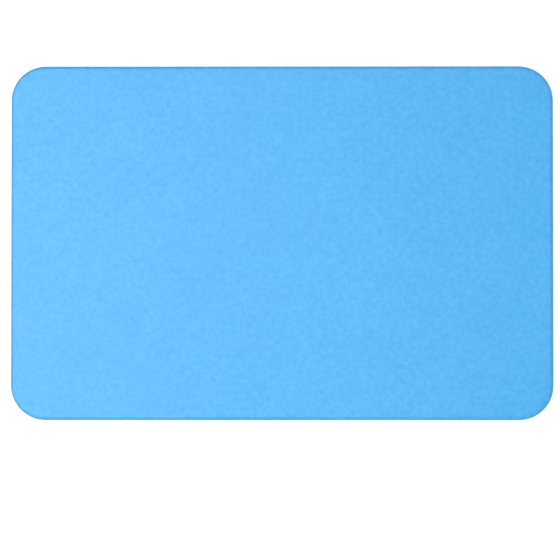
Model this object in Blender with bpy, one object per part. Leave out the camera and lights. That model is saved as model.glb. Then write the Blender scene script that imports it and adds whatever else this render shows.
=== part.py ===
"""A pressed mineral bath mat: one slab on nine thin grip pads, each held by an adhesive disc.

Metres, +Z up. The origin is on the floor, under the middle of the mat, with the length along X.
"""

import math

import bmesh
import bpy
from mathutils import Matrix

# Slab
SLAB_LENGTH = 0.600
SLAB_WIDTH = 0.392
SLAB_THICKNESS = 0.009
CORNER_RADIUS = 0.0383
TOP_EDGE_RADIUS = 0.0040
LOWER_EDGE_RADIUS = 0.0010
CORNER_SEGMENTS = 14
TOP_EDGE_SEGMENTS = 6
LOWER_EDGE_SEGMENTS = 3

# Grip pads, in rows under the slab
PAD_RADIUS = 0.015
PAD_THICKNESS = 0.0008
PAD_RIM_CHAMFER = 0.00025
PAD_CENTRE_INSET = 0.060
PADS_ALONG = 3
PADS_ACROSS = 3
PAD_SIDES = 32

# Adhesive discs, between each pad and the slab
ADHESIVE_RADIUS = PAD_RADIUS - 0.001
ADHESIVE_THICKNESS = 0.0002
SEAT_GAP = 0.00005

# Heights above the floor
ADHESIVE_BOTTOM = PAD_THICKNESS + SEAT_GAP
SLAB_BOTTOM = ADHESIVE_BOTTOM + ADHESIVE_THICKNESS + SEAT_GAP

# Faces that meet at less than this angle are shaded as one round surface
SMOOTH_ANGLE = math.radians(30)


def clear_scene():
    for old in list(bpy.data.objects):
        bpy.data.objects.remove(old, do_unlink=True)


def make_material(name, colour, roughness):
    material = bpy.data.materials.new(name)
    material.use_nodes = True
    shader = material.node_tree.nodes["Principled BSDF"]
    shader.inputs["Base Color"].default_value = (*colour, 1.0)
    shader.inputs["Roughness"].default_value = roughness
    shader.inputs["Metallic"].default_value = 0.0
    return material


def mineral_material():
    return make_material("pressed_mineral", (0.14, 0.50, 0.93), 0.92)


def rubber_material():
    return make_material("grip_rubber", (0.72, 0.74, 0.75), 0.75)


def adhesive_material():
    return make_material("adhesive_film", (0.85, 0.86, 0.84), 0.45)


def finish_mesh(name, shape, material):
    """Turns a bmesh into a smooth-shaded mesh with one material."""
    bmesh.ops.recalc_face_normals(shape, faces=shape.faces)
    mesh = bpy.data.meshes.new(name)
    shape.to_mesh(mesh)
    shape.free()
    mesh.shade_smooth()
    mesh.set_sharp_from_angle(angle=SMOOTH_ANGLE)
    mesh.materials.append(material)
    return mesh


def add_object(name, mesh, location):
    node = bpy.data.objects.new(name, mesh)
    node.location = location
    bpy.context.scene.collection.objects.link(node)
    return node


def rise(edge):
    return abs(edge.verts[0].co.z - edge.verts[1].co.z)


def upright_edges(shape):
    return [edge for edge in shape.edges if rise(edge) > SLAB_THICKNESS / 2]


def edges_at_height(shape, height):
    """The edges that lie flat at a height."""
    tolerance = 1e-6
    return [
        edge
        for edge in shape.edges
        if all(abs(vert.co.z - height) < tolerance for vert in edge.verts)
    ]


def ease(shape, edges, radius, segments):
    bmesh.ops.bevel(
        shape,
        geom=edges,
        offset=radius,
        offset_type="OFFSET",
        segments=segments,
        profile=0.5,
        affect="EDGES",
        clamp_overlap=True,
    )


def slab_mesh(material):
    """A board with round corners, a well eased top edge and a lightly eased lower edge."""
    shape = bmesh.new()
    size = Matrix.Diagonal((SLAB_LENGTH, SLAB_WIDTH, SLAB_THICKNESS, 1.0))
    bmesh.ops.create_cube(shape, size=1.0, matrix=size)
    ease(shape, upright_edges(shape), CORNER_RADIUS, CORNER_SEGMENTS)
    ease(shape, edges_at_height(shape, SLAB_THICKNESS / 2), TOP_EDGE_RADIUS, TOP_EDGE_SEGMENTS)
    ease(shape, edges_at_height(shape, -SLAB_THICKNESS / 2), LOWER_EDGE_RADIUS, LOWER_EDGE_SEGMENTS)
    return finish_mesh("slab", shape, material)


def add_disc(shape, radius, thickness):
    bmesh.ops.create_cone(
        shape,
        cap_ends=True,
        segments=PAD_SIDES,
        radius1=radius,
        radius2=radius,
        depth=thickness,
    )


def pad_mesh(material):
    """A thin round pad, chamfered where it meets the floor."""
    shape = bmesh.new()
    add_disc(shape, PAD_RADIUS, PAD_THICKNESS)
    ease(shape, edges_at_height(shape, -PAD_THICKNESS / 2), PAD_RIM_CHAMFER, 1)
    return finish_mesh("grip_pad", shape, material)


def adhesive_mesh(material):
    shape = bmesh.new()
    add_disc(shape, ADHESIVE_RADIUS, ADHESIVE_THICKNESS)
    return finish_mesh("adhesive_disc", shape, material)


def spread(count, reach):
    """Even places from -reach to +reach."""
    return [-reach + 2 * reach * step / (count - 1) for step in range(count)]


def pad_places():
    across = spread(PADS_ACROSS, SLAB_WIDTH / 2 - PAD_CENTRE_INSET)
    along = spread(PADS_ALONG, SLAB_LENGTH / 2 - PAD_CENTRE_INSET)
    return [(x, y) for y in across for x in along]


def build():
    clear_scene()
    slab = slab_mesh(mineral_material())
    add_object("slab", slab, (0, 0, SLAB_BOTTOM + SLAB_THICKNESS / 2))

    pad = pad_mesh(rubber_material())
    adhesive = adhesive_mesh(adhesive_material())
    for number, (x, y) in enumerate(pad_places(), start=1):
        add_object(f"grip_pad_{number}", pad, (x, y, PAD_THICKNESS / 2))
        add_object(f"adhesive_disc_{number}", adhesive, (x, y, ADHESIVE_BOTTOM + ADHESIVE_THICKNESS / 2))


build()
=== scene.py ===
import math

import bmesh
import bpy
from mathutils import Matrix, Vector


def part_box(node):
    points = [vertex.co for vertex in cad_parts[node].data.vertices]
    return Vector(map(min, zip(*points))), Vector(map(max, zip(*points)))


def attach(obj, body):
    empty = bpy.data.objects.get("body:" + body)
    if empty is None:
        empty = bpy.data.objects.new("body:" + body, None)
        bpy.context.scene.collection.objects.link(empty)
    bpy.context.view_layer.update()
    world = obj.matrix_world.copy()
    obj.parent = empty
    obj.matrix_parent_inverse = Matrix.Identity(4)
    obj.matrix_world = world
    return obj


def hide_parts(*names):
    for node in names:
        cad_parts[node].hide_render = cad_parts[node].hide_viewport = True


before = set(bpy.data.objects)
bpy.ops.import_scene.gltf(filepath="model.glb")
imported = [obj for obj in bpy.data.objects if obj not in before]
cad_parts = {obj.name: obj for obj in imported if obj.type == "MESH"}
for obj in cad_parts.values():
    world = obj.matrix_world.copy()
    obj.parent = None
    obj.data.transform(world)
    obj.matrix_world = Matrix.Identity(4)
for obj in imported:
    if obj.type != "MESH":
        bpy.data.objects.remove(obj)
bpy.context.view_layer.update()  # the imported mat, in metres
slabLow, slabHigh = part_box("slab")
print("frame loaded:", len(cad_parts), "nodes")

levelWithin = 1e-5  # metres; heights closer than this count as the same
flatNormal = 0.99  # a face whose normal has at least this much Z is level
arcProfile = 0.5  # the bevel profile of a true arc
creaseAngle = math.radians(35)  # edges sharper than this stay crisp
noiseRange = (0.3, 0.7)  # nearly all of a noise pattern lies between these
white = (1, 1, 1, 1)


def deselectAll():
    if bpy.context.mode != "OBJECT":
        bpy.ops.object.mode_set(mode="OBJECT")
    bpy.ops.object.select_all(action="DESELECT")


def pickUp(piece):
    deselectAll()
    piece.select_set(True)
    bpy.context.view_layer.objects.active = piece


def setDown(piece, name):
    # place, turn and size go into the mesh
    pickUp(piece)
    piece.name = name
    piece.data.name = name
    bpy.ops.object.transform_apply(location=True, rotation=True, scale=True)


def selectEdges(piece, wanted):
    # wanted gets an edge's two ends; leaves the piece in edit mode with those edges selected
    pickUp(piece)
    bpy.ops.object.mode_set(mode="EDIT")
    bpy.ops.mesh.select_mode(type="EDGE")
    bpy.ops.mesh.select_all(action="DESELECT")
    shape = bmesh.from_edit_mesh(piece.data)
    for edge in shape.edges:
        edge.select_set(wanted(edge.verts[0].co, edge.verts[1].co))
    bmesh.update_edit_mesh(piece.data)


def selectFaces(piece, wanted):
    # wanted gets a face's middle and normal
    pickUp(piece)
    bpy.ops.object.mode_set(mode="EDIT")
    bpy.ops.mesh.select_mode(type="FACE")
    bpy.ops.mesh.select_all(action="DESELECT")
    shape = bmesh.from_edit_mesh(piece.data)
    for face in shape.faces:
        face.select_set(wanted(face.calc_center_median(), face.normal))
    bmesh.update_edit_mesh(piece.data)


def near(a, b):
    return abs(a - b) < levelWithin


def liesAt(height):
    return lambda a, b: near(a.z, height) and near(b.z, height)


def risesOver(height):
    return lambda a, b: abs(a.z - b.z) > height


def roundOver(piece, wanted, radius, steps):
    selectEdges(piece, wanted)
    bpy.ops.mesh.bevel(offset=radius, segments=steps, profile=arcProfile, affect="EDGES")


def press(piece, name, size, depth):
    # sinks the surface here and there, never out past the outline
    clouds = bpy.data.textures.new(name, "CLOUDS")
    clouds.noise_scale = size
    clouds.noise_depth = 1
    sink = piece.modifiers.new(name, "DISPLACE")
    sink.texture = clouds
    sink.texture_coords = "LOCAL"
    sink.direction = "NORMAL"
    sink.strength = depth
    sink.mid_level = 1.0


def applyModifiers(piece):
    pickUp(piece)
    for modifier in list(piece.modifiers):
        bpy.ops.object.modifier_apply(modifier=modifier.name)


def newMaterial(name):
    material = bpy.data.materials.new(name)
    material.use_nodes = True
    return material, material.node_tree


def addNode(tree, kind, **settings):
    node = tree.nodes.new(kind)
    for key, value in settings.items():
        setattr(node, key, value)
    return node


def plug(tree, socket, value):
    # a value is a number, a colour or another node's output
    if isinstance(value, bpy.types.NodeSocket):
        tree.links.new(value, socket)
    else:
        socket.default_value = value


def feed(tree, node, **values):
    # names each input by its label, without the spaces
    for socket in node.inputs:
        label = socket.name.replace(" ", "")
        if label in values:
            plug(tree, socket, values[label])


def objectPlace(tree):
    return addNode(tree, "ShaderNodeTexCoord").outputs["Object"]


def splitAxes(tree, place):
    node = addNode(tree, "ShaderNodeSeparateXYZ")
    plug(tree, node.inputs[0], place)
    return node.outputs


def noise(tree, place, pattern):
    # a pattern's size is that of one blob, in metres
    node = addNode(tree, "ShaderNodeTexNoise", noise_dimensions="3D")
    feed(tree, node, Vector=place, Scale=1 / pattern["size"])
    feed(tree, node, Detail=pattern["detail"], Roughness=pattern["roughness"])
    return node.outputs["Fac"]


def calculate(tree, operation, *values):
    node = addNode(tree, "ShaderNodeMath", operation=operation)
    for socket, value in zip(node.inputs, values):
        plug(tree, socket, value)
    return node.outputs[0]


def spreadOver(tree, value, low, high, newLow=0.0, newHigh=1.0):
    # eases from newLow to newHigh while the value goes from low to high
    node = addNode(tree, "ShaderNodeMapRange", interpolation_type="SMOOTHSTEP", clamp=True)
    plug(tree, node.inputs["Value"], value)
    plug(tree, node.inputs["From Min"], low)
    plug(tree, node.inputs["From Max"], high)
    plug(tree, node.inputs["To Min"], newLow)
    plug(tree, node.inputs["To Max"], newHigh)
    return node.outputs[0]


def blendColours(tree, share, first, second):
    node = addNode(tree, "ShaderNodeMix", data_type="RGBA")
    plug(tree, node.inputs[0], share)
    plug(tree, node.inputs[6], first)  # 6 and 7 are the two colours
    plug(tree, node.inputs[7], second)
    return node.outputs[2]


def tint(tree, colour, mask, strength, tone):
    return blendColours(tree, calculate(tree, "MULTIPLY", mask, strength), colour, tone)


def bump(tree, height, depth, normal=None):
    node = addNode(tree, "ShaderNodeBump")
    feed(tree, node, Height=height, Strength=1.0, Distance=depth)
    if normal is not None:
        plug(tree, node.inputs["Normal"], normal)
    return node.outputs["Normal"]


slabLook = {
    # shape
    "cornerRadius": 0.0383,
    "topRounding": 0.0040,
    "lowerRounding": 0.0010,
    "cornerSteps": 16,  # even, so that the grid's corners fall on the corners' middles
    "topSteps": 8,
    "lowerSteps": 4,
    "gridStep": 0.0022,
    "wallRows": 2,
    "waves": (0.060, 0.00012),  # size and depth of the slow unevenness left by the press
    "dimples": (0.009, 0.00005),  # size and depth of the shallow marks of the sanding
    # finish
    "deep": (0.017, 0.350, 0.758, 1),
    "chalky": (0.053, 0.430, 0.840, 1),
    "roughness": (0.32, 0.38),
    "patterns": {  # pull is how much a pattern shifts the colour, relief how high it stands
        "mottle": {"size": 0.0056, "detail": 3.0, "roughness": 0.55, "pull": 2.3, "relief": 0.00005},
        "grain": {"size": 0.0017, "detail": 2.0, "roughness": 0.60, "pull": 1.1, "relief": 0.00015},
        "dust": {"size": 0.00055, "detail": 3.0, "roughness": 0.65, "pull": 0.7, "relief": 0.00025},
        "clouds": {"size": 0.070, "detail": 2.0, "roughness": 0.50, "pull": 0.4, "relief": 0.0},
    },
    "pores": {"size": 0.0013, "detail": 2.0, "roughness": 0.60, "relief": 0.00015},
    "poreRange": (0.66, 0.73),  # the top end of the pattern; only that is open
    "poreStrength": 0.35,
    "poreTone": (0.030, 0.230, 0.540, 1),
    "specks": {"spacing": 0.0065, "radius": 0.00050, "keep": 0.45},
    "speckStrength": 0.35,
    "speckTone": (0.300, 0.560, 0.820, 1),
    "spots": {"spacing": 0.013, "radius": 0.0016, "keep": 0.35},
    "spotStrength": 0.22,
    "easedInset": (0.0040, 0.0012),  # painted shade on the rim: the deeper tone starts and is full this far inside the outline
    "easedDepth": (0.0036, 0.0018),  # and this far below the top
    "easedStrength": 0.48,
    "easedTone": (0.058, 0.290, 0.520, 1),
}


def splitSide(piece, direction, count):
    # cuts the long straight edges that run along X (0) or Y (1)
    def runsAlong(a, b):
        isLong = abs(a[direction] - b[direction]) > slabLook["cornerRadius"]
        return isLong and near(a[1 - direction], b[1 - direction]) and near(a.z, b.z)

    selectEdges(piece, runsAlong)
    bpy.ops.mesh.subdivide(number_cuts=count - 1)


def openFace(piece, level):
    selectFaces(piece, lambda middle, normal: near(middle.z, level) and abs(normal.z) > flatNormal)
    bpy.ops.mesh.delete(type="ONLY_FACE")


def closeFace(piece, level):
    selectEdges(piece, liesAt(level))
    bpy.ops.mesh.edge_face_add()


def gridFace(piece, level, span):
    # swaps the one big face for a grid that follows the outline
    openFace(piece, level)
    selectEdges(piece, liesAt(level))
    shape = bmesh.from_edit_mesh(piece.data)
    ring = [vert for vert in shape.verts if vert.select]
    corner = max(ring, key=lambda vert: vert.co.x + vert.co.y)
    shape.select_history.clear()
    shape.select_history.add(corner)
    bmesh.update_edit_mesh(piece.data)
    bpy.ops.mesh.fill_grid(span=span, offset=0, use_interp_simple=False)


def makeSlab():
    look = slabLook
    size = slabHigh - slabLow
    levels = (slabHigh.z, slabLow.z)
    bpy.ops.mesh.primitive_cube_add(size=1, location=(slabLow + slabHigh) / 2, scale=size)
    slab = bpy.context.object
    setDown(slab, "mat_slab")

    roundOver(slab, risesOver(size.z / 2), look["cornerRadius"], look["cornerSteps"])
    along = round((size.x - 2 * look["cornerRadius"]) / look["gridStep"])
    across = round((size.y - 2 * look["cornerRadius"]) / look["gridStep"])
    for level in levels:
        openFace(slab, level)
    splitSide(slab, 0, along)
    splitSide(slab, 1, across)
    for level in levels:
        closeFace(slab, level)
    roundOver(slab, liesAt(slabHigh.z), look["topRounding"], look["topSteps"])
    roundOver(slab, liesAt(slabLow.z), look["lowerRounding"], look["lowerSteps"])
    selectEdges(slab, risesOver(size.z / 3))  # the wall between the two roundings
    bpy.ops.mesh.subdivide(number_cuts=look["wallRows"] - 1)
    for level in levels:
        gridFace(slab, level, across + look["cornerSteps"])
    bpy.ops.object.mode_set(mode="OBJECT")
    press(slab, "pressWaves", *look["waves"])
    press(slab, "sandingDimples", *look["dimples"])
    applyModifiers(slab)
    bpy.ops.object.shade_smooth()
    print("slab:", len(slab.data.polygons), "faces")
    return slab


def dots(tree, place, spacing, radius, keep):
    # scattered round dots: 1 inside one, 0 outside; keep is the share of the cells that hold one
    cells = addNode(tree, "ShaderNodeTexVoronoi", feature="F1")
    feed(tree, cells, Vector=place, Scale=1 / spacing, Randomness=1.0)
    reach = radius / spacing
    inside = spreadOver(tree, cells.outputs["Distance"], reach, reach / 2)
    chance = addNode(tree, "ShaderNodeSeparateColor")
    plug(tree, chance.inputs[0], cells.outputs["Color"])
    chosen = calculate(tree, "LESS_THAN", chance.outputs[0], keep)
    return calculate(tree, "MULTIPLY", inside, chosen)


def outlineDistance(tree, place):
    # metres from the slab's outline, below zero inside it
    radius = slabLook["cornerRadius"]
    half = (slabHigh - slabLow) / 2
    axes = splitAxes(tree, place)
    reach = []
    for axis in (0, 1):
        side = calculate(tree, "ABSOLUTE", axes[axis])
        reach.append(calculate(tree, "SUBTRACT", side, half[axis] - radius))
    outer = [calculate(tree, "MAXIMUM", value, 0) for value in reach]
    squares = [calculate(tree, "POWER", value, 2) for value in outer]
    corner = calculate(tree, "SQRT", calculate(tree, "ADD", *squares))
    inner = calculate(tree, "MINIMUM", calculate(tree, "MAXIMUM", *reach), 0)
    return calculate(tree, "SUBTRACT", calculate(tree, "ADD", corner, inner), radius)


def paintedShadeRim(tree, place):
    # 1 on the rounding of the top edge, where a darker rim is painted as shade, 0 on the flat top and
    # on the wall
    inset = [-distance for distance in slabLook["easedInset"]]
    heights = [slabHigh.z - depth for depth in slabLook["easedDepth"]]
    outer = spreadOver(tree, outlineDistance(tree, place), *inset)
    upper = spreadOver(tree, splitAxes(tree, place)["Z"], *heights)
    return calculate(tree, "MULTIPLY", outer, upper)


def mineralMaterial():
    look = slabLook
    material, tree = newMaterial("pressed mineral")
    place = objectPlace(tree)
    fields = {name: noise(tree, place, pattern) for name, pattern in look["patterns"].items()}
    pores = spreadOver(tree, noise(tree, place, look["pores"]), *look["poreRange"])
    specks = dots(tree, place, **look["specks"])
    spots = dots(tree, place, **look["spots"])

    pulls = {name: pattern["pull"] for name, pattern in look["patterns"].items()}
    share = 0.5 - sum(pulls.values()) / 2  # as much deep as chalky, on the whole
    for name, field in fields.items():
        share = calculate(tree, "MULTIPLY_ADD", field, pulls[name], share)
    colour = blendColours(tree, share, look["deep"], look["chalky"])
    colour = tint(tree, colour, pores, look["poreStrength"], look["poreTone"])
    colour = tint(tree, colour, specks, look["speckStrength"], look["speckTone"])
    colour = tint(tree, colour, spots, look["spotStrength"], look["poreTone"])
    # painted shade: a darker rim along the rounding of the top edge
    colour = tint(tree, colour, paintedShadeRim(tree, place), look["easedStrength"], look["easedTone"])

    normal = None
    for name, field in fields.items():
        relief = look["patterns"][name]["relief"]
        if relief > 0:
            normal = bump(tree, field, relief, normal)
    solid = calculate(tree, "SUBTRACT", 1.0, pores)
    normal = bump(tree, solid, look["pores"]["relief"], normal)
    rough = spreadOver(tree, fields["grain"], *noiseRange, *look["roughness"])
    feed(tree, tree.nodes["Principled BSDF"], BaseColor=colour, Roughness=rough, Normal=normal)
    return material


padLook = {
    # shape
    "sides": 64,
    "rimRounding": 0.00020,
    "rimSteps": 3,
    "rings": 4,
    "land": 0.0022,  # width of each ring that touches the floor
    "groove": 0.0011,
    "grooveSlope": 0.0001,
    "grooveDepth": 0.00025,
    # finish
    "dark": (0.62, 0.64, 0.65, 1),
    "pale": (0.74, 0.75, 0.76, 1),
    "roughness": (0.55, 0.75),
    "clouds": {"size": 0.008, "detail": 2.0, "roughness": 0.50},
    "grain": {"size": 0.0006, "detail": 2.0, "roughness": 0.60},
    "relief": 0.00004,
}


def disc(low, high, sides, name):
    size = high - low
    bpy.ops.mesh.primitive_cylinder_add(
        vertices=sides, radius=size.x / 2, depth=size.z, location=(low + high) / 2
    )
    piece = bpy.context.object
    setDown(piece, name)
    return piece


def insetAndLift(width, height):
    bpy.ops.mesh.inset(thickness=width, depth=0)
    bpy.ops.transform.translate(value=(0, 0, height))


def makePad(number):
    look = padLook
    low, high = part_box(f"grip_pad_{number}")
    pad = disc(low, high, look["sides"], f"pad_{number}")
    roundOver(pad, liesAt(low.z), look["rimRounding"], look["rimSteps"])
    selectFaces(pad, lambda middle, normal: near(middle.z, low.z) and normal.z < -flatNormal)
    for ring in range(look["rings"]):  # each leaves a land, with a groove inside it
        bpy.ops.mesh.inset(thickness=look["land"], depth=0)
        insetAndLift(look["grooveSlope"], look["grooveDepth"])
        bpy.ops.mesh.inset(thickness=look["groove"], depth=0)
        insetAndLift(look["grooveSlope"], -look["grooveDepth"])
    bpy.ops.object.mode_set(mode="OBJECT")
    bpy.ops.object.shade_smooth_by_angle(angle=creaseAngle)
    return pad


def rubberMaterial():
    look = padLook
    material, tree = newMaterial("grip rubber")
    place = objectPlace(tree)
    grain = noise(tree, place, look["grain"])
    clouds = noise(tree, place, look["clouds"])
    colour = blendColours(tree, clouds, look["dark"], look["pale"])
    rough = spreadOver(tree, grain, *noiseRange, *look["roughness"])
    normal = bump(tree, grain, look["relief"])
    feed(tree, tree.nodes["Principled BSDF"], BaseColor=colour, Roughness=rough, Normal=normal)
    return material


adhesiveLook = {
    # shape
    "sides": 64,
    "rimRounding": 0.00005,
    "rimSteps": 2,
    "waves": (0.004, 0.00003),  # size and depth of the film's unevenness
    # finish
    "dull": (0.78, 0.78, 0.74, 1),
    "bright": (0.90, 0.90, 0.88, 1),
    "roughness": (0.30, 0.50),
    "fibres": {"size": 0.0012, "detail": 4.0, "roughness": 0.70},
    "relief": 0.00003,
}


def makeAdhesive(number):
    look = adhesiveLook
    low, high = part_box(f"adhesive_disc_{number}")
    film = disc(low, high, look["sides"], f"adhesive_{number}")
    roundOver(film, lambda a, b: near(a.z, b.z), look["rimRounding"], look["rimSteps"])
    bpy.ops.object.mode_set(mode="OBJECT")
    press(film, f"filmEdge{number}", *look["waves"])
    applyModifiers(film)
    bpy.ops.object.shade_smooth_by_angle(angle=creaseAngle)
    return film


def adhesiveMaterial():
    look = adhesiveLook
    material, tree = newMaterial("adhesive film")
    fibres = noise(tree, objectPlace(tree), look["fibres"])
    colour = blendColours(tree, fibres, look["dull"], look["bright"])
    rough = spreadOver(tree, fibres, *noiseRange, *look["roughness"])
    normal = bump(tree, fibres, look["relief"])
    feed(tree, tree.nodes["Principled BSDF"], BaseColor=colour, Roughness=rough, Normal=normal)
    return material


def finishPiece(piece, node, material):
    piece.data.materials.clear()
    piece.data.materials.append(material)
    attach(piece, "root")
    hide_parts(node)


finishPiece(makeSlab(), "slab", mineralMaterial())

rubber = rubberMaterial()
adhesive = adhesiveMaterial()
padNumbers = range(1, 1 + sum(name.startswith("grip_pad_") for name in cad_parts))
for number in padNumbers:
    finishPiece(makePad(number), f"grip_pad_{number}", rubber)
    finishPiece(makeAdhesive(number), f"adhesive_disc_{number}", adhesive)
print("pads and adhesive:", len(padNumbers), "of each")


studioLook = {
    "floorSize": 60.0,
    "floorColour": (0.90, 0.90, 0.90, 1),
    "floorRoughness": 0.9,
    "floorGlow": 0.48,  # only seen, it lights nothing
    "skyLight": 0.64,  # soft light from all round
    "skySeen": 1.30,  # how bright the sky looks and mirrors
    "key": {"place": (-1.6, 0.3, 3.0), "size": 2.4, "power": 44.5},
    "front": {"place": (0.0, -2.4, 1.5), "size": 1.6, "power": 15.0},
    "card": {"place": (-0.88, -0.05, 2.3), "size": 2.5, "power": 60.0},  # a broad sheen from the left
}


def floorMaterial():
    look = studioLook
    material, tree = newMaterial("pale floor")
    ray = addNode(tree, "ShaderNodeLightPath")
    glow = calculate(tree, "MULTIPLY", ray.outputs["Is Camera Ray"], look["floorGlow"])
    shader = tree.nodes["Principled BSDF"]
    feed(tree, shader, BaseColor=look["floorColour"], Roughness=look["floorRoughness"])
    feed(tree, shader, EmissionColor=white, EmissionStrength=glow)
    return material


def makeSky():
    look = studioLook
    sky = bpy.data.worlds.new("studio sky")
    sky.use_nodes = True
    tree = sky.node_tree
    ray = addNode(tree, "ShaderNodeLightPath")
    step = look["skyLight"] - look["skySeen"]
    strength = calculate(tree, "MULTIPLY_ADD", ray.outputs["Is Diffuse Ray"], step, look["skySeen"])
    feed(tree, tree.nodes["Background"], Color=white, Strength=strength)
    return sky


def softLight(name, place, size, power):
    # a round lamp that shines at the middle of the floor
    bpy.ops.object.light_add(type="AREA", location=place)
    light = bpy.context.object
    light.name = name
    light.data.shape = "DISK"
    light.data.size = size
    light.data.energy = power
    light.rotation_euler = (-Vector(place)).to_track_quat("-Z", "Y").to_euler()
    light.visible_camera = False
    return light


def makeStudio():
    look = studioLook
    bpy.ops.mesh.primitive_plane_add(size=look["floorSize"])
    floor = bpy.context.object
    setDown(floor, "floor")
    floor.data.materials.append(floorMaterial())
    softLight("keyLight", **look["key"]).visible_glossy = False
    softLight("frontLight", **look["front"]).visible_glossy = False
    softLight("sheenCard", **look["card"]).visible_diffuse = False  # only mirrored
    bpy.context.scene.world = makeSky()
    bpy.context.scene.view_settings.view_transform = "Standard"
    print("studio: floor, sky, key and front lights, sheen card")


cameraLook = {
    "lens": 118.0,
    "distance": 2.0275,
    "aim": (-0.0022, -0.0410),  # the spot in the middle of the view
    "tilt": (math.radians(0.88), math.radians(0.28)),
}


def makeCamera():
    look = cameraLook
    tiltX, tiltY = look["tilt"]
    x = look["aim"][0] + look["distance"] * math.tan(tiltY)
    y = look["aim"][1] - look["distance"] * math.tan(tiltX)
    bpy.ops.object.camera_add(location=(x, y, slabHigh.z + look["distance"]))
    camera = bpy.context.object
    camera.data.lens = look["lens"]
    camera.rotation_euler = (tiltX, tiltY, 0)
    bpy.context.scene.camera = camera
    print("camera: above, looking almost straight down")


makeStudio()
makeCamera()
